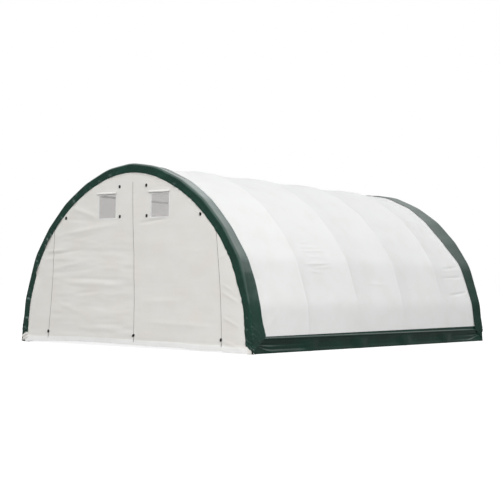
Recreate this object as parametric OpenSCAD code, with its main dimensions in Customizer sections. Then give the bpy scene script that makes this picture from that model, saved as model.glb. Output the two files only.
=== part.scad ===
// Fabric storage building: bent steel arches and purlins under a stretched cover, with a zipped
// fabric front wall, a plain rear wall, end trims and ground skirts. Front faces -Y, ground is Z = 0.

/* [Building] */
// Width over the trim at the ground
body_w = 6100; // [5000:50:7400]
// Height of the outline's crown, before its corner is rounded
body_h = 3600; // [3000:10:4400]
// Length of the fabric from front face to rear face
cover_l = 9150; // [7000:50:12000]

/* [Fabric] */
// Thickness of the cover
cover_t = 4; // [2:0.5:8]
// Thickness of the end walls
wall_t = 4; // [2:0.5:8]
// Thickness of the end trims
trim_t = 4; // [2:0.5:8]
// Thickness of welded strips: hems, window borders and zip tapes
strip_t = 1.5; // [1:0.5:3]
// Width of the trim on each end face
trim_face_w = 166; // [120:2:220]
// Width of the front trim along the cover
front_band_w = 320; // [250:10:450]
// Width of the rear trim along the cover
rear_band_w = 520; // [300:10:700]
// Height of the trim's lower ends above the ground
trim_foot_z = 130; // [110:5:200]
// Height of the ground skirts
skirt_h = 340; // [280:10:450]
// Height of the hems on the end walls
hem_h = 100; // [60:5:105]

/* [Frame] */
// Outer diameter of the arch tubes
tube_d = 60; // [42:1:76]
// Centreline radius of the tube bends
bend_r = 900; // [300:10:1200]
// Wall of the arch sleeves and foot sockets
sleeve_t = 4; // [2:0.5:6]
// Length of the sleeves on the arch tubes
sleeve_l = 130; // [90:5:200]
// Outer diameter of the purlins
purlin_d = 42; // [32:1:50]
// Wall of the purlins
purlin_wall = 2; // [1.5:0.5:4]
// Wall of the purlin sleeves under the arches
cross_t = 4; // [3:0.5:6]
// Length of the purlin sleeves
cross_l = 120; // [90:5:160]
// Length of the base plates across the building
plate_l = 190; // [160:5:240]
// Width of the base plates along the building
plate_w = 130; // [110:5:180]
// Thickness of the base plates
plate_t = 6; // [4:1:12]
// Height of the foot sockets above the plates
socket_h = 110; // [60:5:160]
// Diameter of the anchor holes
anchor_d = 14; // [10:1:20]
// Distance from an anchor hole's centre to the plate's edges
anchor_edge = 30; // [20:1:35]
// Diameter of the tension tubes in the skirt pockets
tension_d = 27; // [20:1:34]
// Height of the tension tubes above the ground
tension_z = 268; // [200:1:300]

/* [Front wall] */
// Width of the left side panel at the ground
left_panel_w = 805; // [600:5:1000]
// Width of the right side panel at the ground
right_panel_w = 695; // [600:5:1000]
// How far the left zip leans inward over the building's height
left_zip_lean = 200; // [0:5:300]
// How far the right zip leans inward over the building's height
right_zip_lean = 300; // [0:5:400]
// Centre zip's distance right of the middle at the ground
centre_zip_x = 165; // [0:5:200]
// How far the centre zip leans left over the building's height
centre_zip_lean = 125; // [0:5:200]
// Height of the undivided gable panel below the crown
gable_h = 360; // [300:5:420]
// Width of the zip tapes
zip_w = 36; // [24:1:50]
// Width of the zip teeth
teeth_w = 10; // [6:1:14]
// How far the zip teeth stand off the tape
teeth_t = 2; // [1:0.5:2.5]
// Height of the zip sliders above the ground
slider_z = 150; // [130:5:400]

/* [Windows] */
// Width of the window openings
window_w = 440; // [300:5:520]
// Height of the window openings
window_h = 440; // [300:5:500]
// Distance from the crown down to the top of the windows
window_drop = 630; // [580:5:750]
// Middle of the left window, left of the building's middle
left_window_x = 622; // [560:1:700]
// Middle of the right window, right of the building's middle
right_window_x = 773; // [560:1:800]
// Width of the welded border around each window
border_w = 30; // [20:1:50]
// Thickness of the window panes
pane_t = 1.5; // [1:0.5:3]
// Diameter of the rolled window flaps
roll_d = 44; // [30:1:60]
// Height of the flap's flat tab above its roll
flap_tab_h = 25; // [15:1:40]

/* [Toggles] */
// Distance from the crown down to the top toggles
top_toggle_drop = 455; // [430:5:480]
// Distance from the crown down to the middle toggles
mid_toggle_drop = 1045; // [900:5:1200]
// Height of the ground toggles
low_toggle_z = 235; // [200:5:400]
// Distance of the inner toggles from the centre zip
inner_toggle_gap = 355; // [250:5:360]
// Distance from the outer toggles to the trim
outer_toggle_gap = 95; // [60:5:150]
// Width of a toggle's patch
patch_w = 46; // [30:1:60]
// Height of a toggle's patch
patch_h = 60; // [40:1:80]
// Diameter of a toggle's barrel
barrel_d = 16; // [10:1:22]
// Length of a toggle's barrel
barrel_l = 50; // [30:1:60]

/* [Clearances] */
// Gap between pieces that lie on each other
lay_gap = 0.3; // [0.2:0.1:0.5]
// Gap between the door's panels under the zips
panel_gap = 2; // [1:0.5:4]
// Gap from the zips, hems and toggles to the trim
trim_gap = 6; // [3:1:12]

/* [Hidden] */
$fn = 48;

steel = "silver";
white = "whitesmoke";
green = "darkslategray";
arch_n = 6;
over = 50; // how far cutting solids run past what they cut
bend_swell = 0.3; // how much a bend widens the tube's radius
bend_lap = 4; // how far a straight run reaches into its bends
bend_steps = 6; // flats in each rounded corner of a sheet

// Corners of half of the arch outline, as shares of the half width and of the height
half_shape = [[1, 0], [0.974, 0.245], [0.88, 0.495], [0.757, 0.652], [0.597, 0.794], [0.41, 0.9],
    [0.207, 0.9735], [0, 1]];
half_w = body_w / 2;
crown = len(half_shape) - 1; // index of the outline's top corner
right_half = [for (s = half_shape) [s.x * half_w, s.y * body_h]];
outline = concat(right_half, [for (i = [crown - 1:-1:0]) flip(right_half[i])]);

// Depths below the outline, from the outside in
wall_in = trim_t + lay_gap; // edge of the end walls and outside of the cover
skirt_in = wall_in + cover_t; // inside of the cover and of the skirts
sleeve_r = tube_d / 2 + sleeve_t;
tube_in = skirt_in + lay_gap + sleeve_r; // centreline of the arch tubes

// Places along the building, counted from the front
roll_proud = roll_d - trim_t;
front_y = (roll_proud - cover_l) / 2;
rear_y = front_y + cover_l;
leaf_y = front_y + trim_t + lay_gap; // outside of the front wall
inside_y = leaf_y + wall_t; // inside of the front wall
rear_leaf_y = rear_y - trim_t - lay_gap;
rear_inside_y = rear_leaf_y - wall_t;
first_arch_y = inside_y + lay_gap + sleeve_r;
last_arch_y = rear_inside_y - lay_gap - sleeve_r;
bay = (last_arch_y - first_arch_y) / (arch_n - 1);

// Purlin rows, each as a run of the outline and a share of that run
lower_row = [2, 0.35];
upper_row = [4, 0.66];
cross_bore_r = purlin_d / 2 + lay_gap;
purlin_drop = sleeve_r + cross_bore_r + 1; // centre of a purlin below the centreline of the arches
foot_z = plate_t + lay_gap + sin(lean_of(0)) * tube_d / 2; // centre of the arch tube's lower end
tension_r = tension_d / 2;
pocket_r = tension_r + lay_gap + cover_t;

function flip(p) = [-p.x, p.y];
function unit(v) = v / norm(v);
function left_of(v) = [-v.y, v.x];
function back(list) = [for (i = [len(list) - 1:-1:0]) list[i]];
// Direction of a run of the outline, and its lean from the vertical
function along(i) = unit(outline[i + 1] - outline[i]);
function lean_of(i) = acos(along(i).y);
function turn(i) = acos(along(i - 1) * along(i));
function mitre(i) = let (a = left_of(along(i - 1)), b = left_of(along(i))) (a + b) / (1 + a * b);
// Point of the right leg at height z, d inside the outline
function leg(d, z) = let (t = along(0), p = outline[0] + d * left_of(t)) p + t * (z - p.y) / t.y;
// The outline moved d inward, with its ends at height z
function arc_path(d, z = 0) = concat([leg(d, z)],
    [for (i = [1:len(outline) - 2]) outline[i] + d * mitre(i)], [flip(leg(d, z))]);
function turned(v, angle) = [v.x * cos(angle) - v.y * sin(angle), v.x * sin(angle) + v.y * cos(angle)];
// Rounded corner i of the outline moved d inward, about the centre of the tubes' bend there
function round_corner(i, d) =
    let (r = bend_r + tube_in - d, dir = along(i - 1),
        centre = outline[i] + d * mitre(i) - r * tan(turn(i) / 2) * dir + r * left_of(dir))
    [for (k = [0:bend_steps]) centre - r * turned(left_of(dir), turn(i) * k / bend_steps)];
// The outline moved d inward with its corners rounded, as a sheet follows the tubes
function round_path(d, z = 0) = concat([leg(d, z)],
    [for (i = [1:len(outline) - 2]) each round_corner(i, d)], [flip(leg(d, z))]);
// Half width at height z of the outline moved d inward
function half_at(d, z) = let (p = arc_path(d))
    [for (i = [0:crown - 1]) if (p[i].y <= z && z < p[i + 1].y)
        p[i].x + (p[i + 1].x - p[i].x) * (z - p[i].y) / (p[i + 1].y - p[i].y)][0];
function arch_y(i) = first_arch_y + (i - 1) * bay;
// What a bend takes off the straight runs that it joins
function bend_cut(i) = bend_r * tan(turn(i) / 2);
function row_point(row) = arc_path(tube_in)[row[0]] * (1 - row[1]) + arc_path(tube_in)[row[0] + 1] * row[1];
function purlin_point(row) = row_point(row) + purlin_drop * left_of(along(row[0]));
crown_point = [0, arc_path(tube_in)[crown].y - bend_r * (1 / cos(turn(crown) / 2) - 1)];
ridge_point = crown_point - [0, purlin_drop];

// Fills a section drawn in X and Z from y0 to y1
module across(y0, y1) {
    translate([0, y1, 0]) rotate([90, 0, 0]) linear_extrude(y1 - y0) children();
}

module skin(d, t, z = 0) {
    polygon(concat(round_path(d, z), back(round_path(d + t, z))));
}

// Frame

module straight(a, b, r) {
    translate([a.x, a.y, 0]) rotate([0, 0, atan2(b.y - a.y, b.x - a.x)]) rotate([0, 90, 0])
        cylinder(h = norm(b - a), r = r);
}

module bend(start, dir, angle, r) {
    centre = start + bend_r * left_of(dir);
    translate([centre.x, centre.y, 0]) rotate([0, 0, atan2(-left_of(dir).y, -left_of(dir).x)])
        rotate_extrude(angle = angle) translate([bend_r, 0]) circle(r = r);
}

module bend_at(i, r) {
    bend(arc_path(tube_in)[i] - along(i - 1) * bend_cut(i), along(i - 1), turn(i), r);
}

// The bent sleeve about the middle of an arch
module crown_sleeve() {
    angle = sleeve_l / bend_r * 180 / PI;
    dir = turned([-1, 0], -angle / 2);
    bend(crown_point - [0, bend_r] - bend_r * left_of(dir), dir, angle, sleeve_r);
}

module arch_tube() {
    p = arc_path(tube_in, foot_z);
    ends = len(p) - 1;
    for (i = [0:ends - 1])
        straight(p[i] + along(i) * (i == 0 ? 0 : bend_cut(i) - bend_lap),
            p[i + 1] - along(i) * (i == ends - 1 ? 0 : bend_cut(i + 1) - bend_lap), tube_d / 2);
    for (i = [1:ends - 1]) bend_at(i, tube_d / 2 + bend_swell);
}

// How far a purlin sleeve reaches each way from the middle of arch i
function cross_front(i) = i == 1 ? sleeve_r : cross_l / 2;
function cross_rear(i) = i == arch_n ? sleeve_r : cross_l / 2;

module cross_rod(p, i, r, more = 0) {
    translate([p.x, p.y, -cross_rear(i) - more]) cylinder(h = cross_front(i) + cross_rear(i) + 2 * more, r = r);
}

module row_sleeve(row) {
    p = row_point(row);
    dir = along(row[0]);
    straight(p - dir * sleeve_l / 2, p + dir * sleeve_l / 2, sleeve_r);
}

// One arch: a tube bent at every corner, with a sleeve at each purlin row that carries a cross
// sleeve under it for the purlin
module arch(i) {
    purlins = [ridge_point, purlin_point(lower_row), purlin_point(upper_row), flip(purlin_point(lower_row)),
        flip(purlin_point(upper_row))];
    color(steel) translate([0, arch_y(i), 0]) rotate([90, 0, 0]) difference() {
        union() {
            arch_tube();
            crown_sleeve();
            for (side = [0, 1]) mirror([side, 0, 0]) for (row = [lower_row, upper_row]) row_sleeve(row);
            for (p = purlins) cross_rod(p, i, cross_bore_r + cross_t);
        }
        for (p = purlins) cross_rod(p, i, cross_bore_r, 1);
    }
}

// A purlin: one tube through the cross sleeves of all the arches
module purlin(p) {
    color(steel) across(inside_y + lay_gap, rear_inside_y - lay_gap) translate(p) difference() {
        circle(r = purlin_d / 2);
        circle(r = purlin_d / 2 - purlin_wall);
    }
}

// The plate of an end arch is shifted inward, clear of the end wall
function plate_shift(i) = (i == 1 ? 1 : i == arch_n ? -1 : 0) * (plate_w / 2 - sleeve_r);

module leg_cylinder(z0, z1, r) {
    rotate([90, 0, 0]) straight(leg(tube_in, z0), leg(tube_in, z1), r);
}

module base_plate(i) {
    outer_x = leg(skirt_in + lay_gap, plate_t).x;
    translate([0, arch_y(i), 0]) difference() {
        union() {
            translate([outer_x - plate_l, plate_shift(i) - plate_w / 2, 0]) cube([plate_l, plate_w, plate_t]);
            intersection() {
                leg_cylinder(-over, plate_t + socket_h, sleeve_r);
                translate([0, -over, plate_t / 2]) cube([body_w, 2 * over, body_h]);
            }
        }
        intersection() {
            leg_cylinder(-over, plate_t + socket_h + over, tube_d / 2 + lay_gap);
            translate([0, -over, plate_t]) cube([body_w, 2 * over, body_h]);
        }
        for (side = [-1, 1])
            translate([outer_x - plate_l + anchor_edge, plate_shift(i) + side * (plate_w / 2 - anchor_edge), -1])
                cylinder(h = plate_t + 2, d = anchor_d);
    }
}

module base_plates(side) {
    color(steel) mirror([side, 0, 0]) for (i = [1:arch_n]) base_plate(i);
}

function tension_point() = leg(skirt_in - pocket_r, tension_z);

module tension_tube(side) {
    color(steel) mirror([side, 0, 0]) across(inside_y + lay_gap, rear_inside_y - lay_gap)
        translate(tension_point()) circle(r = tension_r);
}

// Cover, skirts and trims

module roof_cover() {
    color(white) across(inside_y + lay_gap, rear_inside_y - lay_gap) skin(wall_in, cover_t, skirt_h);
}

// A ground skirt: a flat sheet below the cover, with a pocket round the tension tube
module skirt(side) {
    color(green) mirror([side, 0, 0]) across(inside_y + lay_gap, rear_inside_y - lay_gap) difference() {
        union() {
            polygon([leg(wall_in, 0), leg(wall_in, skirt_h), leg(skirt_in, skirt_h), leg(skirt_in, 0)]);
            translate(tension_point()) circle(r = pocket_r);
        }
        translate(tension_point()) circle(r = tension_r + lay_gap);
    }
}

// An end trim: a band on the cover and a flat ring on the end face, in one sheet
module end_trim(y0, y1, face_y) {
    color(green) union() {
        across(y0, y1) skin(0, trim_t, skirt_h + lay_gap);
        across(face_y, face_y + trim_t) skin(0, trim_face_w, trim_foot_z);
    }
}

// End walls

module wall_blank() {
    polygon(round_path(wall_in));
}

module rear_wall() {
    color(white) across(rear_inside_y, rear_leaf_y) wall_blank();
}

module rear_hem() {
    color(white) across(rear_leaf_y, rear_leaf_y + strip_t) intersection() {
        wall_blank();
        translate([-half_w, 0]) square([body_w, hem_h]);
    }
}

// Zips as lines: place at the ground and at the crown's height
left_line = [-half_w + left_panel_w, -half_w + left_panel_w + left_zip_lean];
right_line = [half_w - right_panel_w, half_w - right_panel_w - right_zip_lean];
centre_line = [centre_zip_x, centre_zip_x - centre_zip_lean];
left_edge = [-half_w - over, -half_w - over];
right_edge = [half_w + over, half_w + over];
gable_z = body_h - gable_h;

function on_line(line, z) = line[0] + (line[1] - line[0]) * z / body_h;

// The part of the end face between two lines and two heights, g clear of both lines
module between(a, b, g, z0, z1) {
    polygon([[on_line(a, z0) + g, z0], [on_line(b, z0) - g, z0], [on_line(b, z1) - g, z1],
        [on_line(a, z1) + g, z1]]);
}

module front_panel(a, b, z0, z1) {
    across(leaf_y, inside_y) intersection() {
        wall_blank();
        between(a, b, panel_gap / 2, z0, z1);
    }
}

module window_frame(x, w) {
    translate([x - window_w / 2 - w, body_h - window_drop - window_h - w])
        square([window_w + 2 * w, window_h + 2 * w]);
}

module door_leaf(a, b, window_x) {
    color(white) difference() {
        front_panel(a, b, 0, gable_z);
        across(leaf_y - 1, inside_y + 1) window_frame(window_x, 0);
    }
}

module front_gable() {
    color(white) across(leaf_y, inside_y) intersection() {
        wall_blank();
        translate([-half_w, gable_z]) square([body_w, gable_h]);
    }
}

module front_hem() {
    lines = [left_edge, left_line, centre_line, right_line, right_edge];
    color(white) across(leaf_y - strip_t, leaf_y) for (i = [0:3]) intersection() {
        wall_blank();
        between(lines[i], lines[i + 1], zip_w / 2 + trim_gap, 0, hem_h);
    }
}

// A zip: tape, teeth and slider, from the ground up to the trim or the gable panel
module zip(line) {
    color("gray") {
        across(leaf_y - strip_t, leaf_y) zip_strip(line, zip_w / 2);
        across(leaf_y - strip_t - teeth_t, leaf_y - strip_t) zip_strip(line, teeth_w / 2);
        translate([on_line(line, slider_z), leaf_y - strip_t, slider_z]) rotate([90, 0, 0])
            linear_extrude(2 * teeth_t) square([1.6 * teeth_w, 3 * teeth_w], center = true);
    }
}

module zip_strip(line, half) {
    intersection() {
        polygon(round_path(trim_face_w + trim_gap));
        between(line, line, -half, 0, gable_z);
    }
}

module window_pane(x) {
    color("lightgray") across(inside_y, inside_y + pane_t) window_frame(x, border_w);
}

module window_border(x) {
    color(white) across(leaf_y - strip_t, leaf_y) difference() {
        window_frame(x, border_w);
        window_frame(x, 0);
    }
}

// A window flap rolled up above its window, hanging from a flat tab
module window_flap(x) {
    z = body_h - window_drop + border_w + roll_d / 2 + lay_gap;
    w = window_w + 2 * border_w;
    color(white) translate([x - w / 2, leaf_y - roll_d / 2 - lay_gap, z]) {
        rotate([0, 90, 0]) cylinder(h = w, d = roll_d);
        translate([0, roll_d / 2 + lay_gap - strip_t, 0]) cube([w, strip_t, roll_d / 2 + flap_tab_h]);
    }
}

// A toggle: stitched patch, cord neck and barrel, on a face at place y
module toggle(x, y, z) {
    neck_l = barrel_d / 2;
    color("black") translate([x, y, z]) {
        rotate([90, 0, 0]) linear_extrude(strip_t) square([patch_w, patch_h], center = true);
        rotate([90, 0, 0]) cylinder(h = strip_t + neck_l + barrel_d / 4, d = barrel_d / 2);
        translate([0, -strip_t - barrel_d / 2 - lay_gap - neck_l / 2, -barrel_l / 2])
            cylinder(h = barrel_l, d = barrel_d);
    }
}

module upper_toggles() {
    top_z = body_h - top_toggle_drop;
    mid_z = body_h - mid_toggle_drop;
    for (z = [top_z, mid_z]) for (side = [-1, 1])
        toggle(on_line(centre_line, z) + side * inner_toggle_gap, leaf_y, z);
    for (side = [-1, 1])
        toggle(side * (half_at(trim_face_w, mid_z) - outer_toggle_gap), leaf_y, mid_z);
}

module lower_toggles() {
    for (line = [left_line, centre_line, right_line])
        toggle(on_line(line, low_toggle_z), leaf_y - strip_t - teeth_t, low_toggle_z);
}

arch(1);  // arch_1
arch(2);  // arch_2
arch(3);  // arch_3
arch(4);  // arch_4
arch(5);  // arch_5
arch(6);  // arch_6
purlin(ridge_point);  // ridge_purlin
purlin(flip(purlin_point(upper_row)));  // left_upper_purlin
purlin(purlin_point(upper_row));  // right_upper_purlin
purlin(flip(purlin_point(lower_row)));  // left_lower_purlin
purlin(purlin_point(lower_row));  // right_lower_purlin
base_plates(1);  // left_base_plates
base_plates(0);  // right_base_plates
tension_tube(1);  // left_tension_tube
tension_tube(0);  // right_tension_tube
roof_cover();
skirt(1);  // left_skirt
skirt(0);  // right_skirt
end_trim(front_y, front_y + front_band_w, front_y);  // front_trim
end_trim(rear_y - rear_band_w, rear_y, rear_y - trim_t);  // rear_trim
rear_wall();
rear_hem();
color(white) front_panel(left_edge, left_line, 0, body_h);  // front_left_panel
color(white) front_panel(right_line, right_edge, 0, body_h);  // front_right_panel
door_leaf(left_line, centre_line, -left_window_x);  // left_door_leaf
door_leaf(centre_line, right_line, right_window_x);  // right_door_leaf
front_gable();
front_hem();
zip(left_line);  // left_zip
zip(centre_line);  // centre_zip
zip(right_line);  // right_zip
window_pane(-left_window_x);  // left_window_pane
window_pane(right_window_x);  // right_window_pane
window_border(-left_window_x);  // left_window_border
window_border(right_window_x);  // right_window_border
window_flap(-left_window_x);  // left_window_flap
window_flap(right_window_x);  // right_window_flap
upper_toggles();
lower_toggles();
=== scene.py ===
"""Fabric storage building: galvanised arch frame, stretched cover, green trims and zipped front wall."""
import math

import bmesh
import bpy
import numpy as np
from mathutils import Matrix, Vector


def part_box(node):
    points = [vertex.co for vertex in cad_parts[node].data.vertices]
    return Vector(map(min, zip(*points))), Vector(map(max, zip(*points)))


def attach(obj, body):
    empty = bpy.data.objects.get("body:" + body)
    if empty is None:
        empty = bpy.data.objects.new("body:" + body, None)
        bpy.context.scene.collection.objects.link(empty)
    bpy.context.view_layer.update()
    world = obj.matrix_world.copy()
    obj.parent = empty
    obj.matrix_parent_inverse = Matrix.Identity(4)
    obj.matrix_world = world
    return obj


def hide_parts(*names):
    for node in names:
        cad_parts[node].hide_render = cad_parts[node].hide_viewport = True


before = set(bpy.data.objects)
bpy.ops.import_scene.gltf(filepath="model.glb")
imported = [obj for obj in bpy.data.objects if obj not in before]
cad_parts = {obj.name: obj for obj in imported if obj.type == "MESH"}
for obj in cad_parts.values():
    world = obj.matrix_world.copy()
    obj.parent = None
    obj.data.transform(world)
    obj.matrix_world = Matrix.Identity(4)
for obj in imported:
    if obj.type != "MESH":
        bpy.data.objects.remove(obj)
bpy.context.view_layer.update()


# Arch frame
# Six arches of bent steel tube, five purlins through sleeves under them, and a tension tube along
# each foot. All are hot-dip galvanised after welding, which leaves a dull grey zinc skin with spangle.

def linear(hex_colour):
    """An sRGB hex colour as linear RGBA"""
    shares = [int(hex_colour[i:i + 2], 16) / 255 for i in (1, 3, 5)]
    return [s / 12.92 if s <= 0.04045 else ((s + 0.055) / 1.055) ** 2.4 for s in shares] + [1]


def add(tree, kind, values=(), links=(), **settings):
    """A new shader node with settings, socket values and links; a node stands for its first output"""
    node = tree.nodes.new("ShaderNode" + kind)
    for name, value in settings.items():
        setattr(node, name, value)
    for socket, value in dict(values).items():
        node.inputs[socket].default_value = value
    for socket, source in dict(links).items():
        if isinstance(source, bpy.types.Node):
            source = source.outputs[0]
        tree.links.new(source, node.inputs[socket])
    return node


def object_noise(tree, scale, detail, roughness=0.5):
    """Noise that is fixed to the object, with its scale per metre"""
    return add(tree, "TexNoise", {"Scale": scale, "Detail": detail, "Roughness": roughness},
               {"Vector": add(tree, "TexCoord").outputs["Object"]})


def ramp(tree, source, first, last):
    """A source's values as colours from first to last"""
    node = add(tree, "ValToRGB", links={"Fac": source})
    for stop, colour in zip(node.color_ramp.elements, (first, last)):
        stop.color = linear(colour)
    return node


def new_material(name):
    material = bpy.data.materials.new(name)
    material.use_nodes = True
    material.node_tree.nodes.clear()
    return material, material.node_tree


def galvanised_steel():
    """Hot-dip zinc: flat crystals, each with its own grey and gloss, weathered to a dull finish and drawn
    darker still as painted shade
    """
    material, tree = new_material("hot_dip_galvanised_steel_painted_shade")
    spangle_size = 0.02  # crystals are 5 to 15 mm; drawn at 20 mm so that they show
    place = add(tree, "TexCoord")
    crystals = add(tree, "TexVoronoi", {"Scale": 1 / spangle_size}, {"Vector": place.outputs["Object"]})
    # These greys are darker than weathered zinc: painted shade, so the backlit purlins read as dark lines
    # through the window mesh.
    grey = ramp(tree, crystals.outputs["Color"], "#4A4F51", "#70757A")
    gloss = add(tree, "MapRange", {"To Min": 0.38, "To Max": 0.58}, {"Value": crystals.outputs["Color"]})
    drips = object_noise(tree, 60, 3)
    bump = add(tree, "Bump", {"Strength": 0.15, "Distance": 0.0005}, {"Height": drips})
    zinc = add(tree, "BsdfPrincipled", {"Metallic": 0.9},
               {"Base Color": grey, "Roughness": gloss, "Normal": bump})
    add(tree, "OutputMaterial", links={"Surface": zinc})
    return material


steel = galvanised_steel()
arch_names = [f"arch_{i}" for i in range(1, 7)]
side_frame_names = [f"{side_name}_{part}" for side_name in ("left", "right")
                    for part in ("upper_purlin", "lower_purlin", "base_plates", "tension_tube")]
for node_name in arch_names + ["ridge_purlin"] + side_frame_names:
    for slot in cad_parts[node_name].material_slots:
        slot.material = steel

sleeve_radius = 0.034
first_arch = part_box("arch_1")[0].y + sleeve_radius
last_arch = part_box("arch_6")[1].y - sleeve_radius
bay = (last_arch - first_arch) / 5


# Outline of the arches
# Every fabric piece follows the frame's outline: straight runs between bends, in which tight fabric
# rounds the corners a little more than the tubes do. Places on it are lengths from the right foot.

half_width = 3.05
crown_height = 3.6
bend_radius = 0.943  # a little over the tubes' own 0.9
corner_shares = [(1, 0), (0.974, 0.245), (0.88, 0.495), (0.757, 0.652), (0.597, 0.794), (0.41, 0.9),
                 (0.207, 0.9735), (0, 1)]  # from the right foot to the crown
right_corners = [Vector((x * half_width, z * crown_height)) for x, z in corner_shares]
corners = right_corners + [Vector((-p.x, p.y)) for p in right_corners[-2::-1]]


def quarter_left(direction):
    return Vector((-direction.y, direction.x))


curve = [(corners[0], (corners[1] - corners[0]).normalized())]
for before, corner, after in zip(corners, corners[1:], corners[2:]):
    run_in = (corner - before).normalized()
    turn = run_in.angle((after - corner).normalized())
    start = corner - run_in * bend_radius * math.tan(turn / 2)
    for angle in np.linspace(0, turn, 13):
        ahead = run_in * math.cos(angle) + quarter_left(run_in) * math.sin(angle)
        centre = start + quarter_left(run_in) * bend_radius
        curve.append((centre - quarter_left(ahead) * bend_radius, ahead))
curve.append((corners[-1], (corners[-1] - corners[-2]).normalized()))
curve_x, curve_z, normal_x, normal_z = np.array([(p.x, p.y, ahead.y, -ahead.x) for p, ahead in curve]).T
curve_u = np.concatenate([[0], np.cumsum(np.hypot(np.diff(curve_x), np.diff(curve_z)))])
outline_length = curve_u[-1]
half_points = len(curve) // 2 + 1


def section(u, depth):
    """X and Z of the outline at length u, moved inward by depth"""
    x, z, out_x, out_z = [np.interp(u, curve_u, values)
                          for values in (curve_x, curve_z, normal_x, normal_z)]
    size = np.hypot(out_x, out_z)
    return x - depth * out_x / size, z - depth * out_z / size


def length_at(z):
    """Length along the outline at which its right side reaches height z"""
    return np.interp(z, curve_z[:half_points], curve_u[:half_points])


def soft_section(u, depth, reach):
    """The same, averaged along the outline so that its corners are drawn out"""
    places = [section(u + reach * step, depth) for step in (-1, -0.6, -0.2, 0.2, 0.6, 1)]
    return sum(x for x, z in places) / 6, sum(z for x, z in places) / 6


def half_at(z, depth):
    """Half width at height z of the outline moved inward by depth"""
    x, height = section(curve_u[:half_points], depth)
    return np.interp(z, height, x)


# Roof cover
# One sheet of white coated woven polyethylene, pulled over the arches and laced down to the tension
# tubes. It touches only the arches, so it hangs in a shallow hollow in each bay, and the slack left
# over gathers in short creases across the pull.

def ease(t):
    """From 0 to 1 as t does, with level ends"""
    t = np.clip(t, 0, 1)
    return t * t * (3 - 2 * t)


def noise(seed, a, b, size_a, size_b):
    """Smooth seeded noise from -1 to 1, with humps of the given sizes"""
    table = np.random.default_rng(seed).uniform(-1, 1, (64, 64))
    p, q = np.asarray(a) / size_a, np.asarray(b) / size_b
    i, j = np.floor(p).astype(int), np.floor(q).astype(int)
    f, g = ease(p - i), ease(q - j)

    def value(di, dj):
        return table[(i + di) % 64, (j + dj) % 64]

    low = value(0, 0) * (1 - f) + value(1, 0) * f
    high = value(0, 1) * (1 - f) + value(1, 1) * f
    return low * (1 - g) + high * g


def crease(a, b, start, end, width, height):
    """Height of a soft crease along the line from start to end, fading out at both ends"""
    step = np.subtract(end, start)
    length = np.hypot(*step)
    along = ((a - start[0]) * step[0] + (b - start[1]) * step[1]) / length ** 2
    off = ((a - start[0]) * step[1] - (b - start[1]) * step[0]) / length
    fade = np.clip(1 - (2 * along - 1) ** 2, 0, 1)
    return height * fade * np.exp(-(off / width) ** 2)


def creased(relief, creases, a, b, wider=1, higher=1):
    """A relief with creases added to it, from both ends, width and height of each"""
    for begin, end, width, height in creases:
        relief = relief + crease(a, b, begin, end, wider * width, higher * height)
    return relief


def grid(a, b):
    return np.meshgrid(a, b, indexing="ij")


def weave_pattern(tree, pitch):
    """Height of a plain weave along the flat cut, with its threads a pitch in metres apart"""
    flat = add(tree, "UVMap", uv_map="flat")
    warp, weft = [add(tree, "TexWave", {"Scale": math.pi / 10 / pitch}, {"Vector": flat},
                      bands_direction=axis).outputs["Fac"] for axis in "XY"]
    return add(tree, "Math", links={0: warp, 1: weft}, operation="MAXIMUM")


def woven_polyethylene(name, colour, blotch_colour, translucence, roughness, gloss, crumple_height):
    """Tape-woven polyethylene, coated on both faces: a matt sheet that glows when lit from behind"""
    material, tree = new_material(name)
    tape_pitch = 0.012  # tapes are 2.5 mm wide; drawn at 12 mm so that the weave shows
    weave = weave_pattern(tree, tape_pitch)
    weave_bump = add(tree, "Bump", {"Strength": 0.25, "Distance": 0.0005}, {"Height": weave})
    crumple = object_noise(tree, 9, 4, 0.6)
    crumple_bump = add(tree, "Bump", {"Strength": 0.5, "Distance": crumple_height},
                       {"Height": crumple, "Normal": weave_bump})
    blotches = object_noise(tree, 2.2, 3)
    share = add(tree, "MapRange", {"From Min": 0.42, "From Max": 0.7}, {"Value": blotches})
    tint = ramp(tree, share, colour, blotch_colour)
    surface = add(tree, "BsdfPrincipled", {"Roughness": roughness, "Specular IOR Level": gloss},
                  {"Base Color": tint, "Normal": crumple_bump})
    if translucence:
        glow = add(tree, "BsdfTranslucent", links={"Color": tint})
        surface = add(tree, "MixShader", {"Fac": translucence}, {1: surface, 2: glow})
    add(tree, "OutputMaterial", links={"Surface": surface})
    return material


def in_scene(name, data):
    thing = bpy.data.objects.new(name, data)
    bpy.context.scene.collection.objects.link(thing)
    return thing


def smooth_piece(mesh, material, sharp_angle):
    """A smooth-shaded piece of a mesh, with edges sharp past an angle in degrees"""
    mesh.polygons.foreach_set("use_smooth", np.ones(len(mesh.polygons), bool))
    mesh.set_sharp_from_angle(angle=math.radians(sharp_angle))
    mesh.materials.append(material)
    piece = in_scene(mesh.name, mesh)
    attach(piece, "root")
    return piece


def mesh_piece(name, verts, faces, material, flat=None):
    """A piece from arrays, with its flat cut in metres as the UV map"""
    mesh = bpy.data.meshes.new(name)
    mesh.from_pydata(verts.tolist(), [], faces.tolist())
    if flat is not None:
        loops = np.empty(len(mesh.loops), np.int64)
        mesh.loops.foreach_get("vertex_index", loops)
        layer = mesh.uv_layers.new(name="flat")
        layer.uv.foreach_set("vector", flat[loops].astype(np.float32).ravel())
    return smooth_piece(mesh, material, 50)


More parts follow.
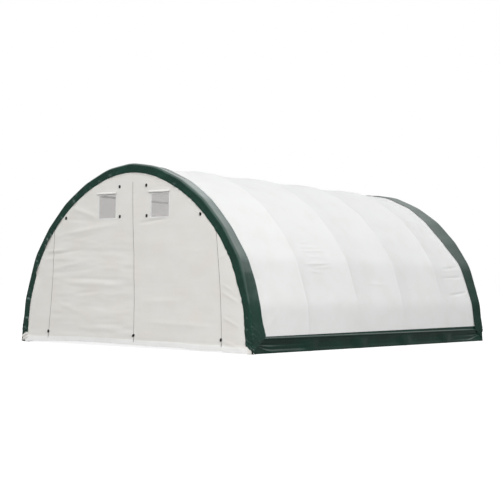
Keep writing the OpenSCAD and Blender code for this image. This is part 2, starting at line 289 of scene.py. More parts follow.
def cloth(name, x, y, z, material, thickness=0.0012, kept=None):
    """A thin closed sheet on a grid of places on its outer face, without the cells that aren't kept"""
    outer = np.stack(np.broadcast_arrays(x, y, z), -1)
    rows, columns = outer.shape[:2]
    normal = np.cross(np.gradient(outer, axis=0), np.gradient(outer, axis=1))
    normal /= np.maximum(np.linalg.norm(normal, axis=2, keepdims=True), 1e-12)
    inner = outer - normal * thickness
    flat_u = np.cumsum(np.linalg.norm(np.diff(outer, axis=0, prepend=outer[:1]), axis=2), axis=0)
    flat_v = np.cumsum(np.linalg.norm(np.diff(outer, axis=1, prepend=outer[:, :1]), axis=2), axis=1)
    if kept is None:
        kept = np.ones((rows - 1, columns - 1), bool)
    count = rows * columns
    index = np.arange(count).reshape(rows, columns)
    ring = [index[:-1, :-1][kept], index[1:, :-1][kept], index[1:, 1:][kept], index[:-1, 1:][kept]]
    top = np.stack(ring, 1)
    edges = np.concatenate([np.stack([ring[k], ring[(k + 1) % 4]], 1) for k in range(4)])
    lonely = ~np.isin(edges[:, 0] * count + edges[:, 1], edges[:, 1] * count + edges[:, 0])
    start, end = edges[lonely].T
    rim = np.stack([end, start, start + count, end + count], 1)
    faces = np.concatenate([top, top[:, ::-1] + count, rim])
    used, faces = np.unique(faces, return_inverse=True)
    verts = np.concatenate([outer.reshape(-1, 3), inner.reshape(-1, 3)])[used]
    flat = np.tile(np.stack([flat_u, flat_v], -1).reshape(-1, 2), (2, 1))[used]
    return mesh_piece(name, verts, faces.reshape(-1, 4), material, flat)


front_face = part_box("front_trim")[0].y
rear_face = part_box("rear_trim")[1].y
white_cover = woven_polyethylene("white_coated_woven_polyethylene", "#F9F9F8", "#F7F6F5",
                                 0.375, 0.55, 0.3, 0.003)
cover_lay = 0.0043  # how far the cover lies inside the outline
cover_sag = 0.042  # depth of the hollow in the middle of a bay
cover_foot = 0.26  # height of the cover's lower edge, behind the skirt's top

# Creases on the cover's side, as (length from the foot, Y) of both ends, then width and height
side_creases = [
    ((2.23, -2.35), (2.28, -1.7), 0.024, 0.006), ((2.12, -2.45), (2.15, -1.55), 0.026, 0.008),
    ((2.02, -2.4), (2.07, -1.42), 0.024, 0.008), ((1.9, -2.3), (1.92, -1.65), 0.024, 0.006),
    ((1.72, -2.5), (1.77, -1.45), 0.028, 0.009), ((1.64, -2.15), (1.71, -1.35), 0.022, 0.006),
    ((1.59, -2.45), (1.56, -1.82), 0.022, 0.007), ((1.37, -0.36), (1.31, 0.5), 0.028, 0.006),
    ((1.74, 3.15), (1.84, 4.25), 0.03, -0.013), ((1.52, 2.98), (1.57, 4.25), 0.026, -0.009),
    ((1.09, 3.12), (1.19, 4.25), 0.03, -0.013), ((0.42, -4.1), (0.78, -3.62), 0.03, 0.005),
    ((0.55, -3.7), (0.95, -3.5), 0.026, 0.004), ((0.4, -3.55), (0.7, -3.8), 0.024, -0.004),
    ((0.98, -3.95), (1.16, -3.55), 0.026, 0.003),
]
far_side_creases = [((u0 + 0.1, 0.3 - y0), (u1 + 0.1, 0.3 - y1), width, height)
                    for (u0, y0), (u1, y1), width, height in side_creases]


def cover_depth(u, y):
    """How far the cover lies inside the outline, with its hollows between the arches"""
    share = np.clip((y - first_arch) / bay, 0, 4.9999) % 1
    height = np.interp(u, curve_u, curve_z)
    slack = 1 + 0.18 * noise(11, u, y, 1.3, bay)
    hollow = cover_sag * 4 * share * (1 - share) * ease((height - 0.3) / 1.4) * slack
    return cover_lay - 0.008 * ease((height - 2.4) / 0.8) + hollow


def cover_relief(u, y):
    """Soft waves and creases on the cover, and the print of the arch tubes under it"""
    share = ((y - first_arch) / bay) % 1
    from_arch = np.minimum(share, 1 - share)
    from_foot = np.minimum(u, outline_length - u)
    relief = 0.0045 * noise(12, u, y, 0.55, 0.9) + 0.0016 * noise(13, u, y, 0.16, 0.5)
    low = 1 - ease((from_foot - 0.9) / 0.9)
    relief = relief + low * 0.0025 * noise(14, u, y, 0.22, 0.16)
    relief = relief * ease(from_arch * 12)
    relief = creased(relief, side_creases, u, y, 0.8, 1.6)
    relief = creased(relief, far_side_creases, outline_length - u, y)
    between_bands = ease((y - front_face - 0.36) / 0.1) * ease((rear_face - 0.5 - y) / 0.12)
    tube_print = 0.0028 * np.exp(-((from_arch * bay) / 0.024) ** 2)
    return (relief + tube_print) * between_bands * ease((from_foot - 0.3) / 0.2)


def spaced(stops):
    """Places from (place, step) stops: each stretch is divided evenly with about its step"""
    places = [stops[0][0]]
    for (begin, step), (end, unused) in zip(stops, stops[1:]):
        count = max(1, round((end - begin) / step))
        places += list(np.linspace(begin, end, count + 1)[1:])
    return np.array(places)


low_u = float(length_at(cover_foot))
cover_u = spaced([(low_u, 0.06), (1.0, 0.022), (2.4, 0.12), (outline_length - 2.4, 0.03),
                  (outline_length - 1.0, 0.06), (outline_length - low_u, 0)])
near_arch = 0.07
cover_set_back = 0.04  # from the end faces to the cover's edges, inside the trims' turns
stops = [(front_face + cover_set_back, 0.03)]
for arch in range(1, 5):
    middle = first_arch + arch * bay
    stops += [(middle - near_arch, 0.014), (middle + near_arch, 0.045)]
cover_y = spaced(stops + [(rear_face - cover_set_back, 0)])
grid_y, grid_u = grid(cover_y, cover_u)
cover_x, cover_z = section(grid_u, cover_depth(grid_u, grid_y) - cover_relief(grid_u, grid_y))
roof_cover = cloth("roof_cover_sheet", cover_x, grid_y, cover_z, white_cover)
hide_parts("roof_cover")


# Ground skirts
# A strip of dark green coated polyethylene along each side, with a welded pocket round the
# tension tube. Its green is drawn darker than the trims', which is painted shade. It is slack, so it
# bulges over the tube, folds in under it and turns out on the ground, and at both ends it is
# gathered into folds that run out from the corner.

# The skirt's green is darker than the trims': painted shade for the low strip under the bulge.
green_skirt_painted_shade = woven_polyethylene("dark_green_skirt_sheet_painted_shade", "#0B2920", "#0E3128",
                                 0, 0.28, 0.34, 0.006)
skirt_top_front, skirt_top_rear = 0.308, 0.36  # it rises a little to the rear
skirt_front, skirt_rear = front_face, rear_face - 0.008
tube_z = 0.268


def near_arches(y, reach):
    """From 0 between the arches to 1 beside them"""
    share = ((y - first_arch) / bay + 0.5) % 1 - 0.5
    return 1 - ease((np.abs(share) * bay - reach) / 0.34)


def skirt_top(y):
    share = (y - skirt_front) / (skirt_rear - skirt_front)
    return skirt_top_front + (skirt_top_rear - skirt_top_front) * share


# The folds that fan out from a gathered corner, as (height at which each runs out, size)
gathers = [(0.205, 0.008), (0.165, -0.018), (0.115, 0.013), (0.075, -0.013), (0.035, 0.008)]
gathered_z = 0.178


def skirt_out(side, z, y):
    """How far a side's skirt (1 right, -1 left) stands outside the outline"""
    seed = 21 + 4 * side
    from_front = np.maximum(y - skirt_front, 0)
    s = np.minimum(from_front, skirt_rear - y)  # from the nearer end
    pocket = 0.026 * np.exp(-((z - tube_z) / 0.0195) ** 4)
    slack = 1 - near_arches(y, 0.04)
    hollow = 0.003 + (0.04 + 0.006 * noise(seed, y, z, 0.9, 1)) * slack
    hollow = hollow * (1 - 0.3 * ease((0.1 - z) / 0.1))
    inside = -hollow * ease((tube_z - 0.012 - z) / 0.11)
    lip = (0.001 + 0.004 * noise(seed + 1, y, z, 0.6, 1)) * np.exp(-(z / 0.04) ** 2)
    waves = 0.0025 * noise(seed + 2, y, z, 0.6, 0.12) * ease((0.22 - z) / 0.06)
    out = 0.002 + pocket + inside + lip + waves * (1 - near_arches(y, 0.05))
    for far_z, size in gathers:
        fold_z = gathered_z + (far_z - gathered_z) * ease((s + 0.1) / 0.8)
        fold_width = 0.01 + 0.018 * ease(s / 0.6)
        out = out + size * np.exp(-s / 0.8) * np.exp(-((z - fold_z) / fold_width) ** 2)
    if side == 1:
        out = out + 0.04 * ease((0.2 - z) / 0.2) * np.exp(-from_front / 0.14)
    else:
        out = out * (0.1 + 0.9 * ease((from_front - 0.02) / 0.3))
    return out


for side, side_name in ((1, "right"), (-1, "left")):
    along = spaced([(skirt_front, 0.014), (skirt_front + 1.2, 0.045), (skirt_rear - 1.0, 0.018),
                    (skirt_rear, 0)])
    up = np.concatenate([np.linspace(0, 0.3, 26), np.linspace(0.31, 1, 50)])
    skirt_y, share = grid(along, up)
    floor_z = 0.003 + 0.035 * (side == 1) * (1 - ease((skirt_y - skirt_front) / 0.08))
    skirt_z = floor_z + (skirt_top(skirt_y) - floor_z) * share
    top_blend = ease((share - 0.94) / 0.06)
    sheet_depth = cover_depth(length_at(skirt_z), skirt_y) - 0.003
    depth = -skirt_out(side, skirt_z, skirt_y) * (1 - top_blend) + sheet_depth * top_blend
    skirt_x, skirt_z = section(length_at(skirt_z), depth)
    low_corner = ease((0.2 - skirt_z) / 0.2) * np.exp((skirt_front - skirt_y) / 0.08)
    skirt_y = skirt_y - 0.03 * low_corner * (side == 1)
    skirt = cloth(side_name + "_skirt_sheet", side * skirt_x[::side], skirt_y[::side],
                  skirt_z[::side], green_skirt_painted_shade)
    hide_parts(side_name + "_skirt")


# End trims
# A band of dark green sheet, wrapped over each end arch: a ring on the end face, a turn over the
# tube and a band on the cover. A cord in its hem pulls it tight, so the ring puckers. The rear one
# is drawn a darker green, which is painted shade for the end turned away from the light, and has
# less gloss.

green_sheet = woven_polyethylene("dark_green_coated_woven_polyethylene", "#0D3228", "#113A2F",
                                 0, 0.24, 0.6, 0.006)
# A darker green than the front trim's: painted shade for the rear end.
green_rear_trim_painted_shade = woven_polyethylene("dark_green_rear_trim_painted_shade", "#0A2A21", "#0E3228",
                                 0, 0.34, 0.22, 0.006)

# Creases that run from the ring into the band at the right feet, as (length, -depth) of both ends
foot_creases = [((0.78, -0.01), (0.6, -0.13), 0.005), ((0.64, -0.01), (0.42, -0.19), 0.007),
                ((0.5, -0.01), (0.29, -0.28), 0.008), ((0.37, -0.01), (0.24, -0.22), 0.007)]
face_ring = 0.166
edge_radius = 0.035


def end_trim(name, node, widths, face_y, direction, seed, material):
    """One end's trim; widths are the band's widths at lengths from either foot"""
    # v runs across the sheet from the ring's inner edge to the band's hem, u round the outline
    ring_flat = face_ring - edge_radius
    turn_length = math.pi / 2 * edge_radius
    band_start = ring_flat + turn_length
    band_length = 0.3
    v = spaced([(0, 0.012), (ring_flat, 0.007), (band_start, 0.012), (band_start + 0.06, 0.018),
                (band_start + band_length, 0)])
    angle = np.clip((v - ring_flat) / edge_radius, 0, math.pi / 2)
    band_share = (np.maximum(v - ring_flat - turn_length, 0) / band_length)[:, None]
    foot_v = np.interp(v, [0, ring_flat, band_start, v[-1]], [0.125, 0.09, 0.055, 0.305])
    grid_v, grid_share = grid(v, spaced([(0, 0.001), (0.1, 0.0022), (0.9, 0.001), (1, 0)]))
    foot_u = length_at(foot_v)[:, None] + 0.01 * noise(seed, grid_v, grid_share, 0.06, 0.3)
    u = foot_u + (outline_length - 2 * foot_u) * grid_share
    foot_gap = np.minimum(u, outline_length - u)
    width = np.interp(foot_gap, *zip(*widths)) + 0.006 * noise(seed + 4, u, u, 0.5, 0.5)
    back = edge_radius * (1 - np.cos(angle))[:, None] + band_share * (width - edge_radius)
    y = face_y + direction * back
    narrow = np.where(v < ring_flat, 1 - v / ring_flat, 0)[:, None] * 0.03
    narrow = narrow * (1 - ease((u - 0.9) / 0.9))
    depth_v = np.where(v < ring_flat, face_ring - v, edge_radius * (1 - np.sin(angle)))[:, None] - narrow
    depth = depth_v + ease(back / 0.12) * (cover_depth(u, y) - 0.0035)
    on_ring = 1 - ease((grid_v - ring_flat) / turn_length)
    loose = 0.45 + 0.95 * ease((u - 5.8) / 1.5)
    pucker = 0.015 * noise(seed + 1, u, grid_v, 0.07, 0.1)
    pucker = pucker + 0.009 * noise(seed + 2, u + grid_v, grid_v, 0.2, 0.09)
    pucker = pucker * np.maximum(loose, 0.65 - 0.2 * ease((foot_gap - 0.9) / 0.6))
    ring_lift = on_ring * np.maximum(0.004 + pucker * ease(1.35 - grid_v / ring_flat), -0.001)
    band_lift = (1 - on_ring) * 0.0022 * noise(seed + 3, u, grid_v, 0.14, 0.3)
    puff = 0.006 * ease((grid_v - 0.08) / 0.05)
    hem = 0.0025 * ease((band_share - 0.9) / 0.02)
    folds = 0.007 * np.sin((foot_gap + grid_v * 0.8) * 70) + 0.004 * np.sin((foot_gap + grid_v) * 131)
    folds = (1 - ease((foot_gap - 0.12) / 0.4)) * folds
    height = np.interp(u, curve_u, curve_z)
    on_skirt = np.where(u < outline_length / 2, skirt_out(1, height, y), skirt_out(-1, height, y))
    fade = np.where(height > tube_z, 0.24, 0.07)
    on_skirt = np.maximum(on_skirt, 0.026 * np.exp(-((height - tube_z) / fade) ** 2)) + 0.004
    on_skirt = on_skirt * ease((skirt_top(y) - height + 0.5) / 0.4) * ease(back / 0.012)
    ridge = 0.018 * (direction > 0) * (1 - on_ring) * np.maximum(1 - np.abs(u - 1.5) / 0.55, 0)
    on_band = (1 - on_ring) * ease(band_share * 6 + 0.3)
    lift = band_lift + puff + hem + ridge + folds * on_band
    lift = np.maximum(lift, on_skirt + 0.5 * folds)
    for begin, end, size in foot_creases:
        lift = lift + crease(u, direction * (face_y - y), begin, end, 0.014, 1.5 * size) * (1 - on_ring)
    x, z = section(u, depth - lift)
    soft_x, soft_z = soft_section(u, depth - lift, 0.26)
    soft = (1 - 0.75 * ease(grid_v / ring_flat)) * ease((foot_gap - 0.25) / 0.2)
    x, z = x + (soft_x - x) * soft, z + (soft_z - z) * soft
    y = y - direction * (ring_lift + folds * on_ring * 0.6)
    trim = cloth(name, x[::direction], y[::direction], z[::direction], material)
    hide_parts(node)


front_widths = [(0, 0.43), (0.3, 0.41), (0.7, 0.345), (1.35, 0.35), (1.9, 0.295), (3.1, 0.295),
                (3.7, 0.33), (5.2, 0.33)]
rear_widths = [(0, 0.42), (1.5, 0.42), (2.0, 0.47), (2.4, 0.59), (3.1, 0.61), (3.8, 0.49), (5.2, 0.48)]
end_trim("front_trim_sheet", "front_trim", front_widths, front_face, 1, 31, green_sheet)
end_trim("rear_trim_sheet", "rear_trim", rear_widths, rear_face, -1, 41, green_rear_trim_painted_shade)


# End walls
# White coated woven polyethylene, thinner than the cover. The wall's edge is tucked under the ring,
# its lower edge hangs a little above the ground, and the cloth is slack, so it creases from the
# frame and hangs in soft level wrinkles over the door.

white_wall = woven_polyethylene("white_wall_woven_polyethylene", "#F5F3EF", "#F4F0EB",
                                0.25, 0.55, 0.3, 0.005)
front_wall_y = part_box("front_hem")[1].y
rear_wall_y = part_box("rear_wall")[1].y
wall_edge = 0.05  # depth inside the outline at which the walls stop, under the rings
wall_crown = crown_height - wall_edge - 0.012
slack_top = 0.3  # height up to which a wall follows its wavy lower edge
deepest_swell = -0.02

# Creases on the front wall, as (X, Z) of both ends, then width and height
wall_creases = [
    ((-2.35, 2.15), (-0.3, 2.42), 0.045, 0.009), ((-2.2, 2.02), (-0.6, 2.26), 0.04, -0.005),
    ((-2.75, 1.86), (-1.7, 1.9), 0.03, 0.01), ((-2.4, 1.78), (-1.15, 1.93), 0.034, -0.008),
    ((-2.6, 1.7), (-1.6, 1.74), 0.03, 0.006), ((-2.25, 1.5), (-1.15, 1.69), 0.04, 0.007),
    ((-2.1, 1.43), (-0.9, 1.52), 0.03, -0.004), ((-1.95, 1.33), (0.1, 1.31), 0.035, -0.007),
    ((-1.9, 1.24), (0.05, 1.22), 0.045, 0.006), ((-1.55, 1.01), (-0.75, 1.08), 0.028, -0.006),
    ((-2.15, 0.9), (-1.25, 0.62), 0.045, 0.003), ((-1.15, 0.41), (0, 0.43), 0.035, -0.005),
    ((-1.75, 2.8), (-0.85, 2.54), 0.05, 0.01), ((-1.95, 2.55), (-0.95, 2.48), 0.045, -0.005),
    ((2.3, 1.12), (2.82, 0.88), 0.022, 0.007), ((2.3, 1.27), (2.6, 1.12), 0.02, 0.005),
    ((2.33, 0.66), (2.8, 0.46), 0.024, 0.006), ((2.34, 0.22), (2.8, 0.1), 0.024, 0.006),
    ((2.18, 1.7), (2.58, 1.86), 0.026, 0.006), ((0.18, 2.41), (1.05, 2.505), 0.03, -0.007),
    ((0.22, 2.47), (0.98, 2.515), 0.022, 0.006), ((-2.95, 0.2), (-2.45, 0.17), 0.022, 0.004),
    ((0.25, 0.52), (2.1, 0.46), 0.045, 0.005), ((0.25, 0.9), (1.5, 0.93), 0.05, 0.004),
]


def wall_swell(x, z):
    """How far the front wall stands outside its flat place"""
    room = half_at(z, face_ring + 0.01) - np.abs(x)
    free = ease((room + 0.03) / 0.22)
    tied = ease((z - 0.02) / 0.2)
    left_door = ease((x + 2.3) / 0.3) * ease((0.3 - x) / 0.3) * ease((2.5 - z) / 0.5)
    swell = 0.011 * noise(51, x, z, 1.5, 1.2) + 0.004 * noise(52, x, z, 0.5, 0.28)
    swell = swell + 0.0042 * noise(53, x, z, 0.55, 0.085) * (0.25 + 0.75 * left_door)
    swell = swell + 0.0018 * noise(54, x, z, 0.25, 0.05) * (0.3 + 0.7 * left_door)
    swell = creased(swell, wall_creases, x, z, 1, 1.2)
    flare = 0.056 * np.clip(1 - z / 0.15, 0, 1) ** 1.25 * ease((3.0 - np.abs(x)) / 0.14)
    return np.maximum(swell * free * (0.35 + 0.65 * tied), deepest_swell) + flare


def front_place(x, z):
    """Y of the front wall's face"""
    return front_wall_y - wall_swell(x, z)


def lower_edge(x):
    """Height of the front wall's lower edge, lifted and wavy between the corners"""
    places = [-3.05, -2.33, -1.45, -0.6, 0.05, 0.67, 1.28, 1.87, 2.34, 2.46, 3.05]
    heights = [0.004, 0.037, 0.062, 0.067, 0.055, 0.047, 0.05, 0.024, 0.04, 0.014, 0.004]
    return np.interp(x, places, heights) + 0.002 * noise(55, x, 0 * x, 0.14, 1)


def rear_edge(x):
    return 0.02 + 0.012 * noise(64, x, 0 * x, 0.9, 1) + 0.002


def above_edge(z, edge):
    """Heights from the ground up, squeezed to start at the lower edge"""
    return np.where(z < slack_top, edge + (slack_top - edge) * z / slack_top, z)


def outside(x, z, low, high):
    """Which cells of a grid have their middle outside an opening"""
    middle_x = (x[:-1, :-1] + x[1:, 1:]) / 2
    middle_z = (z[:-1, :-1] + z[1:, 1:]) / 2
    return ~((middle_x > low.x) & (middle_x < high.x) & (middle_z > low.z) & (middle_z < high.z))


def zip_x(line, z):
    """Place of a zip at height z: a straight lean, bowed a little by the pull of the cloth"""
    ground, crown, bow = line
    bent = bow * np.sin(np.pi * np.clip(z / 2.35, 0, 1))
    return ground + (crown - ground) * z / crown_height + bent


left_zip = (-2.245, -2.045, 0.028)
centre_zip = (0.165, 0.04, 0.018)
right_zip = (2.355, 2.055, 0.034)
gable_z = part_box("front_gable")[0].z
zip_gap = 0.001


def wall_piece(name, left, right, z0, z1, window=None, cell=0.024):
    """A panel of the front wall between two edges, given as X at each height, round a window"""
    levels = [z0, window[0].z, window[1].z, z1] if window else [z0, z1]
    heights = spaced([(level, cell) for level in levels])
    edges = [left(heights), right(heights)]
    if window:
        edges[1:1] = [np.full_like(heights, corner.x) for corner in window]
    columns = [edges[0]]
    for begin, end in zip(edges, edges[1:]):
        count = max(2, round(float(np.max(end - begin)) / cell))
        columns += [begin + (end - begin) * k / count for k in range(1, count + 1)]
    x = np.array(columns)
    z = above_edge(np.broadcast_to(heights, x.shape), lower_edge(x))
    kept = outside(x, z, *window) if window else None
    return cloth(name, x, front_place(x, z), z, white_wall, kept=kept)


def outline_right(z):
    """The wall's edge, which spreads to the corner at the foot, below the ring's end"""
    return half_at(z, wall_edge) + 0.036 * (1 - ease((z - 0.04) / 0.08))


def outline_left(z):
    return -outline_right(z)


border_width = 0.03
windows = {}
for side_name in ("left", "right"):
    low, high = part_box(side_name + "_window_border")
    edge = Vector((border_width, 0, border_width))
    windows[side_name] = (low + edge, high - edge)
wall_pieces = [
    ("front_left_panel", outline_left, lambda z: zip_x(left_zip, z) - zip_gap, 0, 2.44, None),
    ("left_door_leaf", lambda z: np.maximum(zip_x(left_zip, z) + zip_gap, outline_left(z)),
     lambda z: zip_x(centre_zip, z) - zip_gap, 0, gable_z, windows["left"]),
    ("right_door_leaf", lambda z: zip_x(centre_zip, z) + zip_gap,
     lambda z: np.minimum(zip_x(right_zip, z) - zip_gap, outline_right(z)), 0, gable_z,
     windows["right"]),
    ("front_right_panel", lambda z: zip_x(right_zip, z) + zip_gap, outline_right, 0, 2.38, None),
    ("front_gable", outline_left, outline_right, gable_z, wall_crown, None),
]
for node_name, left, right, z0, z1, window in wall_pieces:
    panel = wall_piece(node_name + "_cloth", left, right, z0, z1, window)
    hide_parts(node_name)

rear_share, rear_z = grid(np.linspace(1, -1, 201), spaced([(0, 0.03), (wall_crown, 0)]))
rear_x = rear_share * half_at(rear_z, wall_edge)
rear_free = ease((half_at(rear_z, face_ring) - np.abs(rear_x)) / 0.25)
rear_swell = 0.012 * noise(61, rear_x, rear_z, 1.3, 1.1) + 0.004 * noise(62, rear_x, rear_z, 0.6, 0.22)
rear_swell = rear_swell + 0.002 * noise(63, rear_x, rear_z, 0.5, 0.09)
rear_swell = creased(rear_swell, wall_creases[:12], rear_x, rear_z, 1, 0.7)
mirrored = [((-x0, z0 + 0.15), (-x1, z1 + 0.15), width, height)
            for (x0, z0), (x1, z1), width, height in wall_creases[:12]]
rear_swell = creased(rear_swell, mirrored, rear_x, rear_z, 1, 0.6)
rear_y = rear_wall_y + np.maximum(rear_swell * rear_free, deepest_swell)
rear_z = above_edge(rear_z, rear_edge(rear_x))
rear_wall = cloth("rear_wall_cloth", rear_x, rear_y, rear_z, white_wall)
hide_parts("rear_wall")


# Hems
# The lower edge of each end wall is folded back over a cord and welded, which gives a doubled strip
# about 100 mm high, pinched in at the zips. It is drawn in the whiter cover cloth, so its extra
# brightness is a painted highlight.

hem_height = 0.1
hem_end = 2.95
hem_gap = 0.006  # from a hem's end to the zip's line


def hem_strip(name, x0, x1, wall_place, edge_height, out, seed):
    """A hem between two places on a wall, whose face is towards out: -1 front, 1 rear"""
    grid_x, grid_share = grid(spaced([(x0, 0.03), (x1, 0)]), np.linspace(0, 1, 9))
    z = edge_height(grid_x) - 0.004 + hem_height * grid_share
    padding = (0.003 + 0.0035 * np.sin(np.pi * grid_share) ** 0.6
               + 0.0015 * noise(seed, grid_x, grid_share, 0.12, 0.5))
    y = wall_place(grid_x, z) + out * padding
    z = np.maximum(z, 0.001)
    # The hem is drawn in the whiter cover cloth: a painted highlight on the strip.
    hem = cloth(name, grid_x[::-out], y[::-out], z[::-out], white_cover, thickness=0.001)
    return hem


def rear_place(x, z):
    return rear_wall_y + 0 * x + 0.004


zip_feet = [zip_x(line, 0.05) for line in (left_zip, centre_zip, right_zip)]
hem_ends = [-hem_end] + zip_feet + [hem_end]
for k, part in enumerate(("left_panel", "left_leaf", "right_leaf", "right_panel")):
    hem = hem_strip(part + "_hem", hem_ends[k] + hem_gap, hem_ends[k + 1] - hem_gap, front_place,
                    lower_edge, -1, 71 + k)
    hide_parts("front_hem")
rear_hem = hem_strip("rear_wall_hem", -hem_end, hem_end, rear_place, rear_edge, 1, 77)
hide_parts("rear_hem")


# Left corner
# The wall's lower left corner is wrapped round the foot of the frame over the ring's end, and the
# skirt's end is tucked under it along the ground.

round_foot, over_ring = 6, 30  # columns of the wrap on the foot's side and on its front
wrap_x = np.concatenate([np.full(round_foot, -half_width + 0.034),
                         np.linspace(-half_width + 0.036, -2.78, over_ring)])
wrap_y = np.concatenate([np.linspace(front_face + 0.1, front_face + 0.012, round_foot),
                         np.full(over_ring, front_face - 0.02)])
wrap_y[round_foot] = front_face - 0.006
grid_k, grid_share = grid(np.arange(round_foot + over_ring), np.linspace(0, 1, 15))
place_x, place_y = wrap_x[grid_k], wrap_y[grid_k]
wrap_foot = 0.03
wrap_top = np.interp(place_x, [-3.05, -2.93, -2.87, -2.78], [0.125, 0.165, 0.2, 0.12])
wrap_z = wrap_foot + (wrap_top - wrap_foot) * grid_share
on_wall = ease((place_x + 2.87) / 0.07)
pleats = 0.015 * np.sin((place_x * 0.7 - wrap_z * 1.5) * 55 + 0.6) * np.sin(np.pi * grid_share)
pleats = pleats * (1 - on_wall)
wrap_y = (place_y - pleats) * (1 - on_wall) + (front_place(place_x, wrap_z) - 0.004) * on_wall
wrap = cloth("left_corner_wrap", place_x, wrap_y, wrap_z, white_wall)
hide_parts("front_left_panel")

tuck_x, tuck_share = grid(spaced([(-2.965, 0.02), (-2.77, 0)]), np.linspace(0, 1, 6))
tuck_z = 0.001 + 0.034 * tuck_share * (1 - 0.75 * ease((tuck_x + 2.94) / 0.12))
tuck_y = front_face - 0.04 + 0.012 * tuck_share ** 2 + 0.003 * noise(79, tuck_x, tuck_share, 0.07, 1)
# The tuck is drawn in the skirt's darkened green, which is painted shade.
tuck = cloth("left_skirt_tuck", tuck_x, tuck_y, tuck_z, green_skirt_painted_shade)
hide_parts("left_skirt")


# Zips
# Coil zips on a white woven tape, sewn to the panels' edges. The pale grey nylon coil shows as a
# thin line. Each has a die-cast slider with a pull tab, parked near the ground.

def mottled(name, scale, first, last, roughness, metallic):
    """A finish whose colour and roughness vary together between two values"""
    material, tree = new_material(name)
    rubbed = object_noise(tree, scale, 2)
    polish = add(tree, "MapRange", {"To Min": roughness[0], "To Max": roughness[1]}, {"Value": rubbed})
    finish = add(tree, "BsdfPrincipled", {"Metallic": metallic},
                 {"Base Color": ramp(tree, rubbed, first, last), "Roughness": polish})
    add(tree, "OutputMaterial", links={"Surface": finish})
    return material


def bmesh_piece(name, material, form, *values):
    """A piece from a function that fills a bmesh"""
    mesh = bpy.data.meshes.new(name)
    work = bmesh.new()
    form(work, *values)
    work.to_mesh(mesh)
    work.free()
    return smooth_piece(mesh, material, 40)


def join_loops(work, loops):
    """Faces between each loop of vertices and the next"""
    for first, second in zip(loops, loops[1:]):
        for k in range(len(first)):
            after = (k + 1) % len(first)
            work.faces.new((first[k], first[after], second[after], second[k]))


def slider_form(work, x, z):
    """A bevelled body over the coil and a looped pull tab that hangs from it"""
    y = float(front_place(x, z)) - 0.0095
    body = Matrix.Translation((x, y, z)) @ Matrix.Diagonal((0.014, 0.008, 0.022, 1))
    bmesh.ops.create_cube(work, size=1, matrix=body)
    bmesh.ops.bevel(work, geom=list(work.edges), offset=0.0022, segments=3, affect="EDGES")
    outer, inner, tab_depth = (0.0055, 0.019), (0.003, 0.0155), 0.0024
    loops = []
    for (half_x, half_z), back in ((outer, 0), (outer, tab_depth), (inner, tab_depth), (inner, 0)):
        loops.append([work.verts.new((x + half_x * math.copysign(abs(math.cos(t)) ** 0.6, math.cos(t)),
                                      y - 0.007 + back, z - 0.024 + half_z * math.sin(t)))
                      for t in np.linspace(0, 2 * math.pi, 32, endpoint=False)])
    join_loops(work, loops + loops[:1])
    bmesh.ops.recalc_face_normals(work, faces=list(work.faces))


coil_grey = mottled("grey_nylon_coil", 30, "#8A8786", "#A3A09E", (0.45, 0.45), 0)
slider_zinc = mottled("die_cast_zinc_alloy", 180, "#B9BABA", "#D2D3D3", (0.42, 0.28), 1)
tape_foot = 0.045
tape_half = 0.018
coil_foot = 0.105
coil_half = 0.0055
slider_z = 0.165
teeth_pitch = 0.012  # coil turns are 3 mm apart; drawn at 12 mm so that they show
for line, side_name, top_z in ((left_zip, "left", 2.3), (centre_zip, "centre", gable_z - 0.01),
                               (right_zip, "right", 2.24)):
    across, grid_z = grid(np.linspace(-tape_half, tape_half, 5), spaced([(tape_foot, 0.03), (top_z, 0)]))
    grid_x = zip_x(line, grid_z) + across
    lift = 0.0015 + 0.001 * (1 - (across / tape_half) ** 2)
    tape = cloth(side_name + "_zip_tape", grid_x, front_place(grid_x, grid_z) - lift, grid_z,
                 white_wall, thickness=0.001)
    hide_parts(side_name + "_zip")

    step = teeth_pitch / 4
    count = int((top_z - coil_foot) / step)
    swing = np.array([0, 1, 0, -1])[np.arange(count) % 4] * 0.0012
    angle, grid_z = grid(np.linspace(0, 2 * math.pi, 7)[:-1], coil_foot + np.arange(count) * step)
    coil_x = zip_x(line, grid_z) + np.cos(angle) * coil_half + swing
    coil_y = front_place(coil_x, grid_z) - 0.0035 - np.sin(angle) * (0.002 + 0.4 * np.abs(swing))
    verts = np.stack([coil_x.T, coil_y.T, grid_z.T], -1).reshape(-1, 3)
    rings = (np.arange(count - 1) * 6)[:, None]
    base, ahead = rings + np.arange(6), rings + (np.arange(6) + 1) % 6
    sides = np.stack([base, base + 6, ahead + 6, ahead], -1).reshape(-1, 4)
    last = count * 6 - 6
    caps = [[0, 1, 2, 3], [0, 3, 4, 5], [last, last + 3, last + 2, last + 1],
            [last, last + 5, last + 4, last + 3]]
    coil = mesh_piece(side_name + "_zip_coil", verts, np.concatenate([sides, caps]), coil_grey)

    slider_x = float(zip_x(line, slider_z))
    slider = bmesh_piece(side_name + "_zip_slider", slider_zinc, slider_form, slider_x, slider_z)


# Toggles
# Black moulded toggles on a stitched black webbing patch, which tie back the rolled door leaves and
# hold the wall to the frame. Glossy injection-moulded plastic; the patch is drawn in the same plastic.

def moulded_black():
    """Injection-moulded black plastic with a fine spark-eroded grain"""
    material, tree = new_material("black_moulded_acetal")
    grain_size = 0.003
    grain = object_noise(tree, 1 / grain_size, 2)
    bump = add(tree, "Bump", {"Strength": 0.2, "Distance": 0.0004}, {"Height": grain})
    wear = add(tree, "MapRange", {"To Min": 0.34, "To Max": 0.5}, {"Value": grain})
    plastic = add(tree, "BsdfPrincipled", {"Base Color": linear("#17181A")},
                  {"Roughness": wear, "Normal": bump})
    add(tree, "OutputMaterial", links={"Surface": plastic})
    return material


black_plastic = moulded_black()


